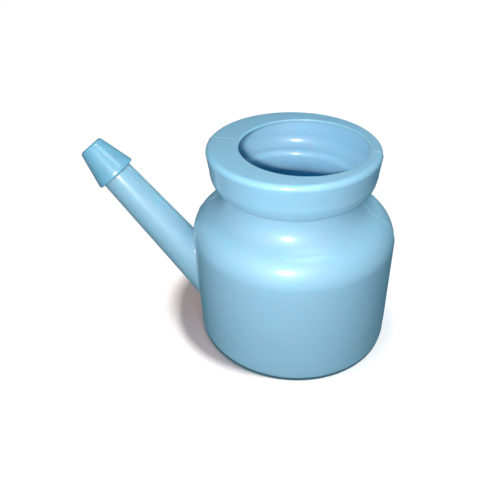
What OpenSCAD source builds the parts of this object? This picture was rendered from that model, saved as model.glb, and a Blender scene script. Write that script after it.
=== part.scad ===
// Nasal wash pot: a squat blow-moulded jug of about half a litre with a hollow splash rim,
// a long straight side spout and a push-on tapered nozzle.
// Frame: +Z up, origin on the body's axis in the plane it stands on, spout towards -X.

/* [Part] */
// which sub-part to build

/* [Body] */
// outer diameter at the top of the straight wall
body_d = 100; // [80:1:130]
// outer diameter where the wall meets the base
base_d = 94.8; // [76:0.2:126]
// height of the straight wall
wall_h = 52.5; // [46:0.5:56]
// moulded wall thickness
wall_t = 1.6; // [1:0.1:2.5]
// radius of the edge round the base
base_edge_r = 2.5; // [1:0.1:5]
// how far the middle of the base is pushed up
push_up = 1.2; // [0.4:0.1:2.5]
// width of the ring that the pot stands on
foot_w = 5; // [3:0.5:10]

/* [Shoulder and neck] */
// how far the shoulder reaches in from the wall
shoulder_w = 15.6; // [14:0.2:17]
// height of the shoulder's arc
shoulder_h = 14.5; // [12:0.5:16]
// where along its arc the shoulder turns into the neck, in degrees
shoulder_turn = 64; // [58:1:68]
// radius of the neck, under the rim
neck_r = 33.8; // [33.4:0.2:35]
// height of the straight part of the neck
neck_len = 0.3; // [0.1:0.1:1]
// radius of the groove between the neck and the rim's underside
groove_r = 2; // [1.8:0.1:2.6]

/* [Splash rim] */
// outer diameter at the top of the rim
rim_d = 84; // [82.6:0.2:87]
// outer diameter at the bottom of the rim's side
rim_low_d = 81.2; // [79:0.2:82.4]
// height of the top of the rim above the table
pot_h = 100; // [98:1:110]
// radius of the rim's top edge
rim_edge_r = 2.4; // [1.8:0.1:3]
// height of the rounded underside against its reach
under_ratio = 1.3; // [1.1:0.05:1.4]
// diameter of the mouth
mouth_d = 62.2; // [50:0.2:64]
// how far the mouth's centre sits away from the spout
mouth_shift = 5; // [0:0.5:5]

/* [Spout] */
// spout's rise above the horizontal, in degrees
spout_rise = 48; // [40:1:58]
// height of the spout's axis where it crosses the body's radius
spout_z = 23.3; // [20:0.1:30]
// outer diameter at the body
spout_d = 21.8; // [18:0.2:24]
// outer diameter at the joint with the nozzle
spout_end_d = 17.4; // [16.6:0.2:20]
// length along the axis from the body's radius to the joint
spout_len = 67; // [50:1:80]
// wall thickness of the spout
spout_t = 1.5; // [1:0.1:2]

/* [Nozzle] */
// diameter of the nozzle's wide end
tip_d = 22.2; // [20:0.2:26]
// diameter of the nozzle's cone at its far end
tip_end_d = 13.8; // [11:0.2:16]
// length of the nozzle
tip_len = 20.8; // [18:0.2:28]
// radius of the nozzle's far edge
tip_edge_r = 1.9; // [1:0.1:2.5]
// radius of the edge at the nozzle's wide end
tip_base_r = 1; // [0.5:0.1:1.5]
// radius of the spigot that the nozzle pushes on to
spigot_r = 7.4; // [7:0.1:7.8]
// length of the spigot
spigot_len = 9; // [6:0.5:11]
// radial gap between the spigot and the nozzle's socket
fit_gap = 0.05; // [0.02:0.01:0.1]
// radius of the hole that the water leaves by
outlet_r = 3; // [2:0.1:4]

/* [Mould line] */
// how far the mould's parting line stands out
line_h = 0.25; // [0.1:0.05:0.4]
// width of the parting line
line_w = 0.6; // [0.3:0.1:1]

/* [Hidden] */
$fn = 96;
eps = 0.01;
body_r = body_d / 2;
base_r = base_d / 2;
dome_r = body_r - shoulder_w;
turn_r = dome_r + shoulder_w * cos(shoulder_turn);
turn_z = wall_h + shoulder_h * sin(shoulder_turn);
// slope of the shoulder where it turns into the neck, below the horizontal
turn_a = atan(shoulder_h * cos(shoulder_turn) / (shoulder_w * sin(shoulder_turn)));
// radius and centre height of the hollow curve between shoulder and neck
neck_curve = (turn_r - neck_r) / (1 - sin(turn_a));
neck_z = turn_z + neck_curve * cos(turn_a);
rim_r = rim_d / 2;
rim_low_r = rim_low_d / 2;
// the vessel ends and the rim begins where the neck is narrowest
split_z = neck_z + neck_len;
// the groove turns outwards through this angle before the rim's underside takes over
groove_a = 70;
under_a = atan(under_ratio * tan(groove_a));
under_w = (rim_low_r - neck_r - groove_r * (1 - cos(groove_a))) / (1 - cos(under_a));
under_h = under_ratio * under_w;
side_z = split_z + groove_r * sin(groove_a) + under_h * sin(under_a);
mouth_r = mouth_d / 2;
spout_bore_r = spout_d / 2 - spout_t;
spout_bore_end_r = spout_end_d / 2 - spout_t;
spigot_bore_r = spigot_r - spout_t;
socket_r = spigot_r + fit_gap;
socket_len = spigot_len + 0.6;
// how far the spout's own solids run back inside the body before they are cut off
back = 16;
steps = 12;

// body outline from the foot to the neck, grown outwards by g
function body_side(g) = concat(
    [for (i = [0:6]) let (a = i * 15 - 90)
        [base_r - base_edge_r + (base_edge_r + g) * cos(a), base_edge_r + (base_edge_r + g) * sin(a)]],
    [for (i = [0:steps]) let (a = i * shoulder_turn / steps)
        [dome_r + (shoulder_w + g) * cos(a), wall_h + (shoulder_h + g) * sin(a)]],
    [for (i = [1:steps]) let (a = 90 - turn_a - i * (90 - turn_a) / steps)
        [neck_r + neck_curve - (neck_curve - g) * cos(a), neck_z - (neck_curve - g) * sin(a)]],
    [[neck_r + g, split_z]]
);

// rim outline from the neck to the flat top, grown outwards by g
function rim_side(g) = concat(
    [for (i = [1:6]) let (a = i * groove_a / 6)
        [neck_r + groove_r - (groove_r - g) * cos(a), split_z + (groove_r - g) * sin(a)]],
    [for (i = [1:10]) let (a = under_a * (1 - i / 10))
        [rim_low_r - under_w + (under_w + g) * cos(a), side_z - (under_h + g) * sin(a)]],
    [for (i = [0:6]) let (a = i * 15)
        [rim_r - rim_edge_r + (rim_edge_r + g) * cos(a), pot_h - rim_edge_r + (rim_edge_r + g) * sin(a)]]
);

// solid of revolution inside the body outline grown by g, from the table up
module body_solid(g) {
    rotate([0, 0, 45])
        rotate_extrude()
            polygon(concat([[0, -g]], body_side(g), [[0, split_z]]));
}

// solid of revolution inside the rim outline grown by g
module rim_solid(g) {
    rotate_extrude()
        polygon(concat([[0, split_z]], [[neck_r + g, split_z]], rim_side(g), [[0, pot_h + g]]));
}

// hollow inside the body: follows the outline one wall in
module body_hollow() {
    rotate([0, 0, 45])
        rotate_extrude()
            polygon(concat(
                [[0, push_up + wall_t], [base_r - foot_w - base_edge_r - 2, push_up + wall_t]],
                [[base_r - foot_w - base_edge_r, wall_t]],
                body_side(-wall_t),
                [[neck_r - wall_t, split_z + eps], [0, split_z + eps]]
            ));
}

// hollow inside the rim, up to the underside of its flat top
module rim_hollow() {
    rotate_extrude()
        polygon(concat([[0, split_z - eps]], [[neck_r - wall_t, split_z - eps]], rim_side(-wall_t),
            [[0, pot_h - wall_t]]));
}

// recess pushed up into the middle of the base
module base_recess() {
    translate([0, 0, -eps])
        cylinder(h = push_up + eps, r1 = base_r - base_edge_r - foot_w, r2 = base_r - base_edge_r - foot_w - 2);
}

// places its children on the spout's axis, +Z along the spout, zero at the body's radius
module on_spout() {
    translate([-body_r, 0, spout_z])
        rotate([0, spout_rise - 90, 0])
            rotate([0, 0, 30])
                children();
}

// cone that follows the spout's taper, from back inside the body to the joint
module spout_cone(r, r_end) {
    slope = (r - r_end) / spout_len;
    on_spout()
        translate([0, 0, -back])
            cylinder(h = spout_len + back, r1 = r + slope * back, r2 = r_end);
}

// thin upright slab in the plane of the mould's parting line
module parting_slab() {
    translate([-body_r - 5, -line_w / 2, base_edge_r + 2])
        cube([body_d + 10, line_w, pot_h + 5]);
}

module vessel() {
    color([0.56, 0.76, 0.87])
    difference() {
        union() {
            body_solid(0);
            difference() {
                intersection() {
                    body_solid(line_h);
                    parting_slab();
                }
                spout_cone(spout_d / 2, spout_end_d / 2);
                translate([0, 0, split_z])
                    cylinder(h = 10, r = body_r);
            }
        }
        body_hollow();
        base_recess();
        spout_cone(spout_bore_r, spout_bore_end_r);
    }
}

module splash_rim() {
    color([0.53, 0.72, 0.83])
    difference() {
        union() {
            rim_solid(0);
            intersection() {
                rim_solid(line_h);
                parting_slab();
            }
        }
        rim_hollow();
        translate([mouth_shift, 0, pot_h - wall_t - 1])
            cylinder(h = wall_t + 4, r = mouth_r);
    }
}

module spout_tube() {
    color([0.6, 0.8, 0.9])
    difference() {
        union() {
            spout_cone(spout_d / 2, spout_end_d / 2);
            on_spout()
                cylinder(h = spout_len + spigot_len, r = spigot_r);
        }
        body_solid(0);
        spout_cone(spout_bore_r, spout_bore_end_r);
        on_spout()
            translate([0, 0, spout_len - 1])
                cylinder(h = spigot_len + 2, r = spigot_bore_r);
    }
}

module nose_tip() {
    color([0.62, 0.82, 0.91])
    on_spout()
        translate([0, 0, spout_len])
            difference() {
                rotate_extrude()
                    polygon(concat(
                        [[0, 0]],
                        [for (i = [0:6]) let (a = i * 15 - 90)
                            [tip_d / 2 - tip_base_r + tip_base_r * cos(a), tip_base_r + tip_base_r * sin(a)]],
                        [for (i = [0:6]) let (a = 11 + i * 79 / 6)
                            [tip_end_d / 2 - tip_edge_r + tip_edge_r * cos(a),
                             tip_len - tip_edge_r + tip_edge_r * sin(a)]],
                        [[0, tip_len]]
                    ));
                translate([0, 0, -eps])
                    cylinder(h = socket_len + eps, r = socket_r);
                translate([0, 0, socket_len - eps])
                    cylinder(h = 3, r1 = socket_r - 0.4, r2 = outlet_r);
                translate([0, 0, -eps])
                    cylinder(h = tip_len + 1, r = outlet_r);
            }
}

vessel();
splash_rim();
spout_tube();
nose_tip();
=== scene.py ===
"""Light-blue moulded nasal wash pot on white paper: a thin shell with a hollow rim, a long spout, a nozzle."""
import math

import bpy
import numpy as np
from mathutils import Matrix, Vector


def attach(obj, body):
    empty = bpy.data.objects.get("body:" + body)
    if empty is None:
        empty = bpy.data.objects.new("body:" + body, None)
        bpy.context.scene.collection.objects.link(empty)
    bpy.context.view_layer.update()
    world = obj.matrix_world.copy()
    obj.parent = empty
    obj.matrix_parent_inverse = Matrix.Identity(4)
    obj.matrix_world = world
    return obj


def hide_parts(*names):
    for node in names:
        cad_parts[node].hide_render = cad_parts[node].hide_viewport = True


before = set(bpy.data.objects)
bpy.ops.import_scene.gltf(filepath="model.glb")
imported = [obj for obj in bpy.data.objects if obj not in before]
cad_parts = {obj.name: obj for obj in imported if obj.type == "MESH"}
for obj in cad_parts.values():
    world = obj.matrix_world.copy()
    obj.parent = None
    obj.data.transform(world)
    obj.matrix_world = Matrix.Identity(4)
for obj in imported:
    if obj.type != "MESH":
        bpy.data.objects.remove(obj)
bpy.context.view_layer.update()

MM = 0.001

# ---------------------------------------------------------------- dimensions (mm), the same as the CAD's
BODY_R, BASE_R, WALL_H, WALL = 50.0, 47.4, 52.5, 1.6
EDGE_R, PUSH_UP, FOOT = 2.5, 1.2, 5.0
DOME_W, DOME_H, DOME_TURN = 15.6, 14.5, math.radians(64)
NECK_R, NECK_LEN, GROOVE, GROOVE_A = 33.8, 0.3, 2.0, math.radians(70)
RIM_R, RIM_LOW_R, POT_H, RIM_EDGE = 42.0, 40.6, 100.0, 2.4
UNDER_RATIO = 1.3
MOUTH_R, MOUTH_X = 31.1, 5.0
RISE, SPOUT_Z = math.radians(48), 23.3
SPOUT_R, SPOUT_END, SPOUT_LEN, SPOUT_T = 10.9, 8.7, 67.0, 1.5
TIP_R, TIP_END, TIP_LEN, TIP_EDGE, TIP_BASE = 11.1, 6.9, 20.8, 1.9, 1.0
SPIGOT_R, SPIGOT_LEN, FIT_GAP, OUTLET_R = 7.4, 9.0, 0.05, 3.0
LINE_H, LINE_W = 0.24, 0.3          # mould line: height, half width

# dimensions of the visual model alone
LIP, LIP_UNDER = 0.5, 0.35          # rounding of the mouth's edge, above and below
FILLET_OUT, FILLET_IN = 2.6, 1.4    # rounding between wall and spout, outside and inside
HOLE_R, HOLE_DROP = 10.2, 2         # spout's opening: radius, and rows that it sits lower on the inside
WALL_Z = list(np.arange(4.0, 51.9, 0.89))
POT_COLUMNS, SPOUT_COLUMNS, CAP_STEPS = 256, 128, 8

# where the parts of the outline meet
FOOT_R = BASE_R - EDGE_R
DOME_R = BODY_R - DOME_W
TURN_R = DOME_R + DOME_W * math.cos(DOME_TURN)
TURN_Z = WALL_H + DOME_H * math.sin(DOME_TURN)
TURN_A = math.atan(DOME_H * math.cos(DOME_TURN) / (DOME_W * math.sin(DOME_TURN)))
HOLLOW = (TURN_R - NECK_R) / (1 - math.sin(TURN_A))
HOLLOW_Z = TURN_Z + HOLLOW * math.cos(TURN_A)
SPLIT_Z = HOLLOW_Z + NECK_LEN
UNDER_A = math.atan(UNDER_RATIO * math.tan(GROOVE_A))
UNDER_W = (RIM_LOW_R - NECK_R - GROOVE * (1 - math.cos(GROOVE_A))) / (1 - math.cos(UNDER_A))
UNDER_H = UNDER_RATIO * UNDER_W
SIDE_Z = SPLIT_Z + GROOVE * math.sin(GROOVE_A) + UNDER_H * math.sin(UNDER_A)

# the spout's axis: its start, its direction and the two directions square to it
A0 = np.array([-BODY_R, 0.0, SPOUT_Z])
U = np.array([-math.cos(RISE), 0.0, math.sin(RISE)])
V = np.array([math.sin(RISE), 0.0, math.cos(RISE)])
W = np.array([0.0, 1.0, 0.0])


# ---------------------------------------------------------------- outlines
def arc(cr, cz, rr, rz, a0, a1, n):
    """Points on an ellipse's arc, angles in degrees."""
    return [(cr + rr * math.cos(t), cz + rz * math.sin(t)) for t in np.radians(np.linspace(a0, a1, n))]


def between(p, q, n):
    """Points that cut the straight line from p to q into n - 1 steps, without its ends."""
    return [tuple(a + (b - a) * t for a, b in zip(p, q)) for t in np.linspace(0, 1, n)[1:-1]]


def wall_r(z):
    """Outer radius of the tapered wall at height z."""
    return BASE_R + (BODY_R - BASE_R) * (z - EDGE_R) / (WALL_H - EDGE_R)


def groove(inset, n):
    """Groove between the neck and the rim's underside, upwards."""
    rad = GROOVE + inset
    turns = np.linspace(0, GROOVE_A, n)
    return [(NECK_R + GROOVE - rad * math.cos(t), SPLIT_Z + rad * math.sin(t)) for t in turns]


def under(inset, n):
    """The rim's rounded underside, upwards."""
    w, h = UNDER_W - inset, UNDER_H - inset
    turns = np.linspace(UNDER_A, 0, n)
    return [(RIM_LOW_R - UNDER_W + w * math.cos(t), SIDE_Z - h * math.sin(t)) for t in turns]


def neck_curve(inset, turns):
    """Hollow curve between the neck and the shoulder, at the given angles from the neck."""
    rad = HOLLOW + inset
    return [(NECK_R + HOLLOW - rad * math.cos(t), HOLLOW_Z - rad * math.sin(t)) for t in turns]


# ---------------------------------------------------------------- mesh building
def make(name, verts, faces, body, nodes):
    """Makes a piece that moves with a body and takes the place of CAD nodes."""
    me = bpy.data.meshes.new(name)
    me.from_pydata([tuple(v) for v in np.asarray(verts) * MM], [], faces)
    me.validate()
    me.shade_smooth()
    ob = bpy.data.objects.new(name, me)
    bpy.context.scene.collection.objects.link(ob)
    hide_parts(*nodes)
    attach(ob, body)
    return ob


def columns(near, count):
    """Angles of a ring's points: the near ones on both sides of 0 and 180 degrees, even ones between."""
    steps = count // 2 - 2 * len(near) + 2
    lo, hi = near[-1], math.pi - near[-1]
    out = []
    for start in (0.0, math.pi):
        out += [start + a for a in near]
        out += [start + lo + (hi - lo) * k / steps for k in range(1, steps)]
        out += [start + math.pi - a for a in reversed(near[1:])]
    return np.array(out)


def angles(r):
    """Angles of the pot's ring of radius r, with points at fixed distances from the mould line."""
    near = [math.asin(min(0.5, y / max(r, 4.0))) for y in (0.0, 0.5 * LINE_W, LINE_W, 1.5 * LINE_W)]
    return columns(near, POT_COLUMNS)


def ridge(y):
    """Height of the raised mould line at a distance y from its plane."""
    t = np.clip(1 - np.abs(y) / (1.3 * LINE_W), 0, 1)
    return LINE_H * t * t * (3 - 2 * t)


def ring(r, z, shift, line, normal):
    """One ring of the pot; line scales the mould line, which is raised along the outline's outward normal."""
    a = angles(r)
    h = ridge(r * np.sin(a)) * line
    rr = r + h * normal[0]
    return np.c_[shift + rr * np.cos(a), rr * np.sin(a), z + h * normal[1]]


def loft(rings, close_loop):
    """Points and faces of the skin over a row of rings."""
    n, m = len(rings), len(rings[0])
    faces = []
    for i in range(n if close_loop else n - 1):
        a, b = i * m, ((i + 1) % n) * m
        for j in range(m):
            k = (j + 1) % m
            faces.append((a + j, a + k, b + k, b + j))
    return np.vstack(rings), faces


def outline_normals(pts):
    """Outward normals of an outline that runs up the outside."""
    t = np.gradient(np.array(pts, float), axis=0)
    t /= np.linalg.norm(t, axis=1)[:, None] + 1e-12
    return np.c_[t[:, 1], -t[:, 0]]


# ---------------------------------------------------------------- pot: body and rim are one shell
def rim_outline():
    """From the neck's outside, over the top with the mouth off to one side, to the neck's inside.

    Each entry is radius, height, shift of the ring's centre, scale of the mould line.
    """
    low, high = (RIM_LOW_R, SIDE_Z), (RIM_R, POT_H - RIM_EDGE)
    low_in, high_in = (RIM_LOW_R - WALL, SIDE_Z), (RIM_R - WALL, POT_H - RIM_EDGE)
    edge_r, edge_z = RIM_R - RIM_EDGE, POT_H - RIM_EDGE
    plate_z = POT_H - WALL
    out = groove(0, 14)[1:] + under(0, 26)[1:] + between(low, high, 10)
    out += arc(edge_r, edge_z, RIM_EDGE, RIM_EDGE, 0, 90, 14)
    prof = [(r, z, 0.0, 1.0) for r, z in out]
    prof += between((edge_r, POT_H, 0.0, 1.0), (MOUTH_R + LIP, POT_H, MOUTH_X, 1.0), 12)
    for i, (r, z) in enumerate(arc(MOUTH_R + LIP, POT_H - LIP, LIP, LIP, 90, 180, 7)):
        prof.append((r, z, MOUTH_X, max(0.0, 1 - i / 4)))
    lower_lip = arc(MOUTH_R + LIP_UNDER, plate_z + LIP_UNDER, LIP_UNDER, LIP_UNDER, 180, 270, 5)
    prof += [(r, z, MOUTH_X, 0.0) for r, z in lower_lip]
    prof += between((MOUTH_R + LIP_UNDER, plate_z, MOUTH_X, 0.0), (edge_r, plate_z, 0.0, 0.0), 12)
    back = arc(edge_r, edge_z, RIM_EDGE - WALL, RIM_EDGE - WALL, 90, 0, 7) + between(high_in, low_in, 8)
    back += under(WALL, 22)[::-1] + groove(WALL, 14)[-2:0:-1]
    return prof + [(r, z, 0.0, 0.0) for r, z in back]


def opening_cells(points, first_row):
    """Cells of the outer wall, as (row, column), that the spout's opening takes out."""
    cells = set()
    m = points.shape[1]
    for k in range(len(WALL_Z) - 1):
        for j in range(m):
            middle = (points[first_row + k, j] + points[first_row + k + 1, (j + 1) % m]) / 2
            rel = middle - A0
            if middle[0] <= 0 and np.linalg.norm(rel - U * (rel @ U)) < HOLE_R:
                cells.add((k, j))
    return cells


def cut_opening(points, faces, first_out, first_in):
    """Leaves the opening's cells out of both walls and joins the walls round it."""
    m = points.shape[1]
    cells = opening_cells(points, first_out)

    def outer(k, j):
        return (first_out + k) * m + j

    def inner(k, j):
        return (first_in + len(WALL_Z) - 1 - k + HOLE_DROP) * m + j

    dropped, bridge = set(), []
    for k, j in cells:
        dropped |= {(first_out + k, j), (first_in + len(WALL_Z) - 2 - k + HOLE_DROP, j)}
        j2 = (j + 1) % m
        sides = (((k - 1, j), (k, j), (k, j2)), ((k + 1, j), (k + 1, j2), (k + 1, j)),
                 ((k, (j - 1) % m), (k + 1, j), (k, j)), ((k, j2), (k, j2), (k + 1, j2)))
        bridge += [(outer(*p), outer(*q), inner(*q), inner(*p)) for cell, p, q in sides if cell not in cells]
    return [f for n, f in enumerate(faces) if (n // m, n % m) not in dropped] + bridge


def cap(verts, first, r, z, upwards):
    """Closes the ring of radius r that starts at verts[first] with a slightly domed disc."""
    dome = 0.1
    a = angles(r)
    m = len(a)
    prev = range(first, first + m)
    faces = []
    for s in range(1, CAP_STEPS):
        f = 1 - s / CAP_STEPS
        now = range(len(verts), len(verts) + m)
        verts += [(r * f * math.cos(t), r * f * math.sin(t), z + dome * (1 - f * f)) for t in a]
        faces += [(prev[j - 1], prev[j], now[j], now[j - 1]) for j in range(m)]
        prev = now
    verts.append((0, 0, z + dome))
    faces += [(prev[j - 1], prev[j], len(verts) - 1) for j in range(m)]
    return faces if upwards else [f[::-1] for f in faces]


def build_pot():
    """Outside upwards, over the rim, down the inside and across the floor."""
    recess_r = FOOT_R - FOOT
    base = [(recess_r - 2, PUSH_UP), (recess_r - 1.2, PUSH_UP * 0.72), (recess_r - 0.5, PUSH_UP * 0.2)]
    base += [(recess_r + 0.2, 0.0), (FOOT_R - 1.5, 0.0)] + arc(FOOT_R, EDGE_R, EDGE_R, EDGE_R, -90, 0, 10)
    turn, steep = math.degrees(DOME_TURN), math.pi / 2 - TURN_A
    upper = arc(DOME_R, WALL_H, DOME_W, DOME_H, 0, turn, 24)
    upper += neck_curve(0, np.linspace(steep, 0, 18)[1:]) + [(NECK_R, SPLIT_Z)]
    upper_in = [(NECK_R - WALL, SPLIT_Z)] + neck_curve(WALL, np.linspace(0, steep, 18))
    upper_in += arc(DOME_R, WALL_H, DOME_W - WALL, DOME_H - WALL, turn, 0, 24)[1:]
    corner_z = EDGE_R + 0.4
    corner_h = EDGE_R - WALL + 0.4
    floor_z = corner_z - corner_h
    base_in = arc(FOOT_R, corner_z, EDGE_R - WALL + 0.1, corner_h, 0, -90, 8)
    base_in += [(recess_r - step, floor_z + 0.5 * PUSH_UP * step) for step in (0, 1, 2)]

    line_from = 4.0
    outer = base + [(wall_r(z), z) for z in WALL_Z] + upper
    inner = upper_in + [(wall_r(z) - WALL, z) for z in reversed(WALL_Z)] + base_in
    prof = [(r, z, 0.0, float(z > line_from)) for r, z in outer] + rim_outline()
    prof += [(r, z, 0.0, 0.0) for r, z in inner]
    normals = outline_normals([p[:2] for p in prof])
    rings = [ring(*entry, normal) for entry, normal in zip(prof, normals)]
    points, faces = loft(rings, False)
    first_in = len(prof) - len(inner) + len(upper_in)
    faces = cut_opening(np.array(rings), faces, len(base), first_in)
    verts = [tuple(p) for p in points]
    faces += cap(verts, 0, prof[0][0], PUSH_UP, False)
    faces += cap(verts, len(points) - len(rings[0]), prof[-1][0], prof[-1][1], True)
    return make("pot_shell", verts, faces, "pot", ["vessel", "splash_rim"])


# ---------------------------------------------------------------- spout
def around(phi):
    """Direction square to the spout's axis; 0 is up and back, towards the rim."""
    return math.cos(phi) * V + math.sin(phi) * W


def outer_r(s):
    return SPOUT_R - (SPOUT_R - SPOUT_END) * s / SPOUT_LEN


def inner_r(s):
    return outer_r(s) - SPOUT_T


def on_wall(p, inset):
    """The point moved level on to the wall's cone."""
    k = (wall_r(p[2]) - inset) / math.hypot(p[0], p[1])
    return np.array([p[0] * k, p[1] * k, p[2]])


def meets_wall(phi, r_at, inset):
    """Distance along the spout at which its surface line passes through the wall's cone."""
    lo, hi = -30.0, 30.0
    for _ in range(50):
        mid = (lo + hi) / 2
        p = A0 + U * mid + around(phi) * r_at(mid)
        if math.hypot(p[0], p[1]) > wall_r(p[2]) - inset:
            hi = mid
        else:
            lo = mid
    return (lo + hi) / 2


def root_curve(phi, r_at, inset, ball, n):
    """Fillet from the wall to the spout's surface line: its points, its end, its direction at the foot."""
    s = meets_wall(phi, r_at, inset)
    out = around(phi)
    corner = A0 + U * s + out * r_at(s)
    normal = np.array([corner[0], corner[1], 0.0])
    normal /= np.linalg.norm(normal)
    normal[2] = -(BODY_R - BASE_R) / (WALL_H - EDGE_R)
    normal /= np.linalg.norm(normal)
    away = out - normal * (out @ normal)
    away /= np.linalg.norm(away)
    half = math.acos(max(-1, min(1, float(away @ U)))) / 2
    reach = max(min(ball / math.tan(half), 2.4 * ball), 0.5 * ball)
    foot = on_wall(corner + away * reach, inset)
    end = A0 + U * (s + reach) + out * r_at(s + reach)
    pts = [(1 - x) ** 2 * foot + 2 * x * (1 - x) * corner + x * x * end for x in np.linspace(0, 1, n)]
    return pts, s + reach, away


def sunk_foot(foot, away, sign):
    """A point a little past the fillet's foot and inside the wall, so that the skin ends out of sight."""
    return foot + away * 0.3 + sign * 0.15 * np.array([foot[0], foot[1], 0]) / BODY_R


def spout_column(phi):
    """One line of points: up the outside from the wall, over the spigot's end and back down the bore."""
    e = around(phi)
    height = ridge(abs(math.sin(phi)) * SPOUT_R)
    fillet, start, away = root_curve(phi, outer_r, 0.0, FILLET_OUT, 12)
    col = [sunk_foot(fillet[0], away, -1)] + fillet
    for x in np.linspace(0, 1, 15)[1:]:
        s = start + (SPOUT_LEN - 1.2 - start) * x
        col.append(A0 + U * s + e * (outer_r(s) + height * min(1.0, 4 * x)))
    end, spigot_end, bore_r = outer_r(SPOUT_LEN), SPOUT_LEN + SPIGOT_LEN, SPIGOT_R - SPOUT_T
    # distance along the axis, radius, share of the mould line
    edge = [(SPOUT_LEN - 0.5, end - 0.02, 1), (SPOUT_LEN - 0.16, end - 0.14, 0.6), (SPOUT_LEN, end - 0.45, 0.2)]
    spigot = [(SPOUT_LEN, SPIGOT_R + 0.25, 0), (SPOUT_LEN + 0.2, SPIGOT_R, 0), (spigot_end - 0.5, SPIGOT_R, 0)]
    spigot += [(spigot_end, SPIGOT_R - 0.45, 0), (spigot_end, bore_r + 0.3, 0), (spigot_end - 0.3, bore_r, 0)]
    bore = [(SPOUT_LEN - 0.8, bore_r, 0), (SPOUT_LEN - 1.3, inner_r(SPOUT_LEN - 1.3), 0)]
    col += [A0 + U * s + e * (r + height * k) for s, r, k in edge + spigot + bore]
    fillet, start, away = root_curve(phi, inner_r, WALL, FILLET_IN, 8)
    for x in np.linspace(0, 1, 12)[1:-1]:
        s = SPOUT_LEN - 1.3 + (start - SPOUT_LEN + 1.3) * x
        col.append(A0 + U * s + e * inner_r(s))
    return col + fillet[::-1] + [sunk_foot(fillet[0], away, 1)]


def build_spout():
    grid = np.array([spout_column(phi) for phi in columns([0.0, 0.016, 0.034, 0.055], SPOUT_COLUMNS)])
    verts, faces = loft(list(grid.transpose(1, 0, 2)), True)
    return make("spout", verts, faces, "pot", ["spout_tube"])


# ---------------------------------------------------------------- nozzle
def build_tip():
    """Tapered nozzle with a rounded end, an outlet and the socket that fits the spigot."""
    lean = 11.0
    socket, socket_end = SPIGOT_R + FIT_GAP, SPIGOT_LEN + 0.6
    prof = [(socket, 0.35), (socket + 0.35, 0.0), (TIP_R - TIP_BASE - 0.3, 0.0)]
    prof += arc(TIP_R - TIP_BASE, TIP_BASE, TIP_BASE, TIP_BASE, -90, 0, 9)
    edge = arc(TIP_END - TIP_EDGE, TIP_LEN - TIP_EDGE, TIP_EDGE, TIP_EDGE, lean, 90, 12)
    prof += between((TIP_R, TIP_BASE), edge[0], 12) + edge
    prof += arc(OUTLET_R + 0.5, TIP_LEN - 0.5, 0.5, 0.5, 90, 180, 6)
    prof += [(OUTLET_R, TIP_LEN - 3), (OUTLET_R, socket_end + 3.2), (OUTLET_R + 0.3, socket_end + 2.7)]
    prof += [(socket - 0.4, socket_end), (socket, socket_end - 0.05), (socket, 4.0)]
    turns = np.linspace(0, 2 * math.pi, SPOUT_COLUMNS, endpoint=False)
    round_axis = np.array([around(t) for t in turns])
    rings = [A0 + U * (SPOUT_LEN + z) + r * round_axis for r, z in prof]
    verts, faces = loft(rings, True)
    return make("nozzle_tip", verts, faces, "nozzle", ["nose_tip"])


# ---------------------------------------------------------------- materials
def noise(nt, scale, detail):
    """Noise over the object's own coordinates, in metres."""
    co = nt.nodes.new("ShaderNodeTexCoord")
    tex = nt.nodes.new("ShaderNodeTexNoise")
    tex.inputs["Scale"].default_value = scale
    tex.inputs["Detail"].default_value = detail
    nt.links.new(co.outputs["Object"], tex.inputs["Vector"])
    return tex.outputs["Fac"]


def bump(nt, height, distance):
    node = nt.nodes.new("ShaderNodeBump")
    node.inputs["Strength"].default_value = 0.2
    node.inputs["Distance"].default_value = distance
    nt.links.new(height, node.inputs["Height"])
    return node


def plastic(name, tint, rough, coat):
    """Translucent satin polyethylene, straight from the mould."""
    mat = bpy.data.materials.new(name)
    mat.use_nodes = True
    nt = mat.node_tree
    nt.nodes.clear()
    out = nt.nodes.new("ShaderNodeOutputMaterial")
    bsdf = nt.nodes.new("ShaderNodeBsdfPrincipled")
    nt.links.new(bsdf.outputs[0], out.inputs[0])

    # broad drift in colour, as resin of uneven thickness shows
    ramp = nt.nodes.new("ShaderNodeValToRGB")
    for stop, place, scale in zip(ramp.color_ramp.elements, (0.3, 0.7), (0.985, 1.012)):
        stop.position = place
        stop.color = (*[c * scale for c in tint], 1)
    nt.links.new(noise(nt, 28, 3), ramp.inputs["Fac"])
    nt.links.new(ramp.outputs["Color"], bsdf.inputs["Base Color"])

    # roughness: soft blotches and fine rub marks
    rub = nt.nodes.new("ShaderNodeMapRange")
    rub.inputs["From Min"].default_value = 0.3
    rub.inputs["From Max"].default_value = 0.7
    rub.inputs["To Min"].default_value = rough - 0.03
    rub.inputs["To Max"].default_value = rough + 0.03
    nt.links.new(noise(nt, 90, 4), rub.inputs["Value"])
    nt.links.new(rub.outputs["Result"], bsdf.inputs["Roughness"])

    # bump: slow ripple of the blown wall, under a fine orange peel
    ripple = bump(nt, noise(nt, 55, 1), 0.00015)
    peel = bump(nt, noise(nt, 900, 3), 0.00004)
    nt.links.new(ripple.outputs["Normal"], peel.inputs["Normal"])
    nt.links.new(peel.outputs["Normal"], bsdf.inputs["Normal"])
    nt.links.new(ripple.outputs["Normal"], bsdf.inputs["Coat Normal"])

    bsdf.inputs["IOR"].default_value = 1.5
    bsdf.inputs["Specular IOR Level"].default_value = 0.7
    bsdf.inputs["Coat Weight"].default_value = coat
    bsdf.inputs["Coat Roughness"].default_value = 0.17
    bsdf.inputs["Subsurface Weight"].default_value = 0.9
    bsdf.inputs["Subsurface Radius"].default_value = (0.2, 0.8, 1.0)
    bsdf.inputs["Subsurface Scale"].default_value = 0.005
    return mat


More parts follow.
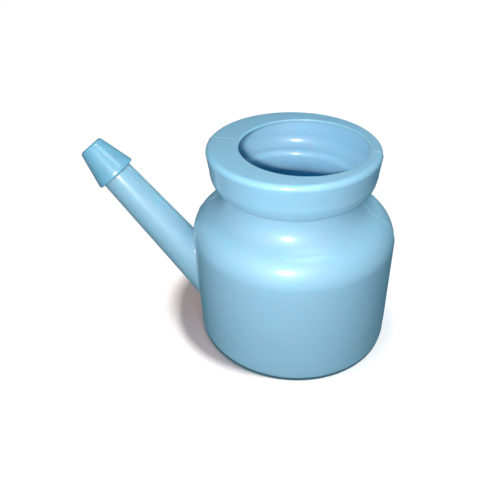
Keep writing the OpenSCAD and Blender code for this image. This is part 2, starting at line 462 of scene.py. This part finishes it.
pot, spout, tip = build_pot(), build_spout(), build_tip()
blue_body = plastic("pot_plastic", (0.286, 0.492, 0.64), 0.55, 0.8)
blue_tip = plastic("nozzle_plastic", (0.20, 0.44, 0.585), 0.45, 1.0)
for ob, mat in ((pot, blue_body), (spout, blue_body), (tip, blue_tip)):
    ob.data.materials.append(mat)


# ---------------------------------------------------------------- paper
def staged(name, verts, faces):
    """An object that belongs to the stage and not to the pot."""
    me = bpy.data.meshes.new(name)
    me.from_pydata(verts, [], faces)
    ob = bpy.data.objects.new(name, me)
    bpy.context.scene.collection.objects.link(ob)
    return ob


def build_paper():
    """White paper that curves up far behind the pot."""
    xs = np.linspace(-4, 4, 3)
    bend = [(1.6 + 0.8 * math.sin(t), 0.8 - 0.8 * math.cos(t)) for t in np.linspace(0.1, math.pi / 2, 12)]
    path = [(-4.0, 0.0), (1.6, 0.0)] + bend + [(2.4, 4.0)]
    verts = [(x, y, z) for y, z in path for x in xs]
    corners = [i * 3 + j for i in range(len(path) - 1) for j in range(2)]
    ob = staged("sweep", verts, [(c, c + 1, c + 4, c + 3) for c in corners])
    ob.data.shade_smooth()
    ob.visible_glossy = False
    ob.visible_diffuse = False
    mat = bpy.data.materials.new("sweep_paper")
    mat.use_nodes = True
    bsdf = mat.node_tree.nodes["Principled BSDF"]
    bsdf.inputs["Base Color"].default_value = (0.92, 0.915, 0.91, 1)
    bsdf.inputs["Roughness"].default_value = 0.85
    bsdf.inputs["Specular IOR Level"].default_value = 0.2
    ob.data.materials.append(mat)
    return ob


sweep = build_paper()

# ---------------------------------------------------------------- camera
TURN = math.radians(9.5)
YAW, PITCH, ROLL = -0.125, 0.385, -0.036
forward = Vector((math.sin(YAW) * math.cos(PITCH), math.cos(YAW) * math.cos(PITCH), -math.sin(PITCH)))
level = forward.cross(Vector((0, 0, 1))).normalized()
rise = level.cross(forward)
right = level * math.cos(ROLL) + rise * math.sin(ROLL)
up = -level * math.sin(ROLL) + rise * math.cos(ROLL)
place = Matrix((right, up, -forward)).transposed().to_4x4()
place.translation = Vector((0, -0.26711, 0.22624))
cam_data = bpy.data.cameras.new("camera")
cam = bpy.data.objects.new("camera", cam_data)
bpy.context.scene.collection.objects.link(cam)
bpy.context.scene.camera = cam
cam.matrix_world = Matrix.Rotation(TURN, 4, "Z") @ place
cam_data.sensor_width = 36
cam_data.lens = 45.9705
cam_data.shift_x = 0.0375
cam_data.shift_y = -0.27083
cam_data.clip_start = 0.01


# ---------------------------------------------------------------- light
def lamp(kind, name, heading, power, colour):
    """A lamp that shines along heading."""
    data = bpy.data.lights.new(name, kind)
    data.energy = power
    data.color = colour
    ob = bpy.data.objects.new(name, data)
    bpy.context.scene.collection.objects.link(ob)
    ob.rotation_euler = Vector(heading).to_track_quat("-Z", "Y").to_euler()
    return ob


def area(name, at, to, size, power, colour=(1, 1, 1)):
    """A rectangular lamp of the given width and height that points from one place to another."""
    ob = lamp("AREA", name, Vector(to) - Vector(at), power, colour)
    ob.data.shape = "RECTANGLE"
    ob.data.size, ob.data.size_y = size
    ob.location = at
    return ob


def sun(name, heading, spread, power, colour):
    ob = lamp("SUN", name, heading, power, colour)
    ob.data.angle = math.radians(spread)
    return ob


def group_of(name, objects):
    group = bpy.data.collections.new(name)
    for ob in objects:
        group.objects.link(ob)
    return group


# a flash beside the camera, a soft light overhead, and a weak one behind that gives no glare
flash_at = cam.matrix_world @ Vector((-0.030, -0.005, 0.02))
flash = area("flash", flash_at, (0, 0, 0.055), (0.030, 0.007), 1.42)
top = area("top", (0.16, -0.08, 0.83), (0, 0, 0.08), (0.35, 0.35), 1.5, (0.86, 0.99, 1))
back = area("back", (0.22, 0.50, 0.16), (0, 0, 0.05), (0.40, 0.40), 2.6, (0.80, 0.97, 1))
back.visible_glossy = False
# the paper has its own two lamps: the first throws the shadow, the second fills it
overhead = sun("overhead", (-0.25, 0.05, -1), 7, 2.75, (1, 0.98, 0.965))
fill = sun("fill", (0.07, 0.03, -1), 9, 0.84, (1, 0.55, 0.42))

# the pot's lamps are kept off the paper and the paper's off the pot, so each can be set on its own
for light in (flash, top, back, overhead, fill):
    group = group_of(light.name + "_lights", [sweep])
    light.light_linking.receiver_collection = group
    state = "INCLUDE" if light in (overhead, fill) else "EXCLUDE"
    group.collection_objects[0].light_linking.link_state = state

# an unseen disc stands in for the spout where it leaves the wall, so no light spills out there
turns = np.linspace(0, 2 * math.pi, 32, endpoint=False)
disc = [(-47.0 * MM, 11.5 * math.sin(t) * MM, (SPOUT_Z - 1 + 17 * math.cos(t)) * MM) for t in turns]
plug = staged("spout_shade", disc, [tuple(range(len(disc)))])
plug.visible_camera = plug.visible_diffuse = plug.visible_glossy = plug.visible_transmission = False
# the pot without its spout throws the shadow on the paper, as in the picture that this view is matched to
overhead.light_linking.blocker_collection = group_of("overhead_blockers", [pot, plug])
fill.light_linking.blocker_collection = group_of("fill_blockers", [pot])

world = bpy.data.worlds.new("world")
bpy.context.scene.world = world
world.use_nodes = True
background = world.node_tree.nodes["Background"]
background.inputs["Color"].default_value = (0.38, 0.90, 1.12, 1)
background.inputs["Strength"].default_value = 0.18

bpy.context.scene.view_settings.view_transform = "Standard"
